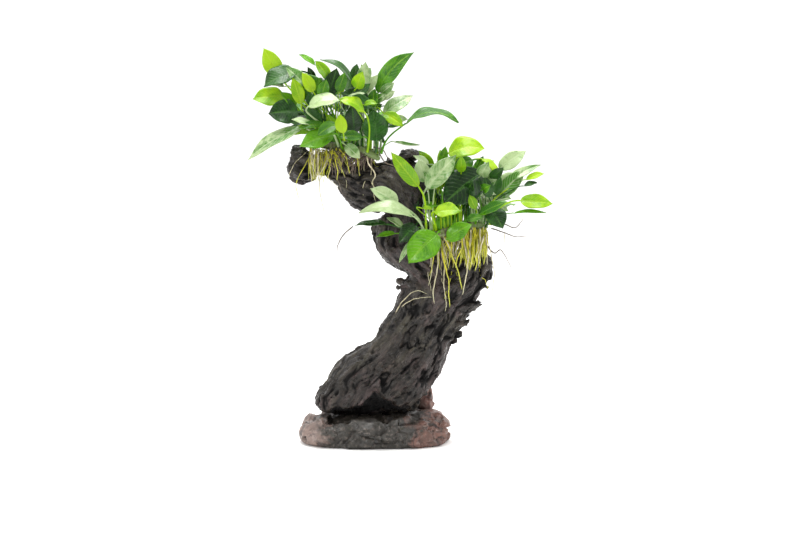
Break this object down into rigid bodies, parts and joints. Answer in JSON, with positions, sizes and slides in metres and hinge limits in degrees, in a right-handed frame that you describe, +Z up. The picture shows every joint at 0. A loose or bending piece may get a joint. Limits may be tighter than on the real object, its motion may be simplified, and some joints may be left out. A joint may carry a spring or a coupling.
{
  "type": "aquarium plant on driftwood",
  "caption": "Bonsai-like driftwood root glued on a flat stone, carrying two clumps of a broad-leaved water plant with hanging roots; free-standing aquarium decoration.",
  "frame": {"origin": "middle of the flat underside of the foot stone, on the surface it stands on", "axes": "+Z up along the height, +X to the right of the front view, -Y toward the viewer"},
  "size_m": [0.3, 0.1126, 0.394],
  "materials": {
    "stone": "rough, pitted, damp",
    "driftwood": "wet, deeply fissured",
    "rhizome": "knotty, damp",
    "roots": "fibrous, damp",
    "leaf_young": "leathery young leaf, satin, wet",
    "leaf_mid": "leathery leaf, glossy, wet",
    "leaf_dark": "leathery old leaf, glossy, wet",
    "leaf_pale": "leathery leaf, shining where it is wet"
  },
  "bodies": {
    "root": {"base_stone": "stone", "back_stone": "stone", "driftwood_trunk": "driftwood", "driftwood_shelf": "driftwood", "driftwood_elbow": "driftwood", "driftwood_arm": "driftwood", "driftwood_knob": "driftwood", "driftwood_spike": "driftwood", "driftwood_stub": "driftwood", "upper_rhizome": "rhizome", "lower_rhizome": "rhizome", "lower_leaf_01": "leaf_young", "lower_leaf_02": "leaf_mid", "lower_leaf_03": "leaf_young", "lower_leaf_04": "leaf_dark", "lower_leaf_05": "leaf_young", "lower_leaf_06": "leaf_pale", "lower_leaf_07": "leaf_pale", "lower_leaf_08": "leaf_pale", "lower_leaf_09": "leaf_dark", "lower_leaf_10": "leaf_mid", "lower_leaf_11": "leaf_mid", "lower_leaf_12": "leaf_young", "lower_leaf_13": "leaf_mid", "lower_leaf_14": "leaf_dark", "lower_leaf_15": "leaf_pale", "lower_leaf_16": "leaf_pale", "lower_leaf_17": "leaf_young", "lower_leaf_18": "leaf_dark", "lower_leaf_19": "leaf_mid", "lower_leaf_20": "leaf_dark", "lower_leaf_21": "leaf_mid", "upper_leaf_01": "leaf_young", "upper_leaf_02": "leaf_dark", "upper_leaf_03": "leaf_young", "upper_leaf_04": "leaf_dark", "upper_leaf_05": "leaf_pale", "upper_leaf_06": "leaf_young", "upper_leaf_07": "leaf_dark", "upper_leaf_08": "leaf_mid", "upper_leaf_09": "leaf_dark", "upper_leaf_10": "leaf_pale", "upper_leaf_11": "leaf_mid", "upper_leaf_12": "leaf_mid", "upper_leaf_13": "leaf_pale", "upper_leaf_14": "leaf_mid", "upper_leaf_15": "leaf_mid", "upper_leaf_16": "leaf_dark", "upper_leaf_17": "leaf_dark", "upper_leaf_18": "leaf_mid", "upper_leaf_19": "leaf_dark", "upper_leaf_20": "leaf_mid", "upper_young_leaves": "leaf_young", "lower_young_leaves": "leaf_young", "upper_root_bundle": "roots", "lower_root_bundle": "roots", "upper_long_root": "roots", "lower_long_root_1": "roots", "lower_long_root_2": "roots", "lower_long_root_3": "roots"}
  },
  "joints": []
}
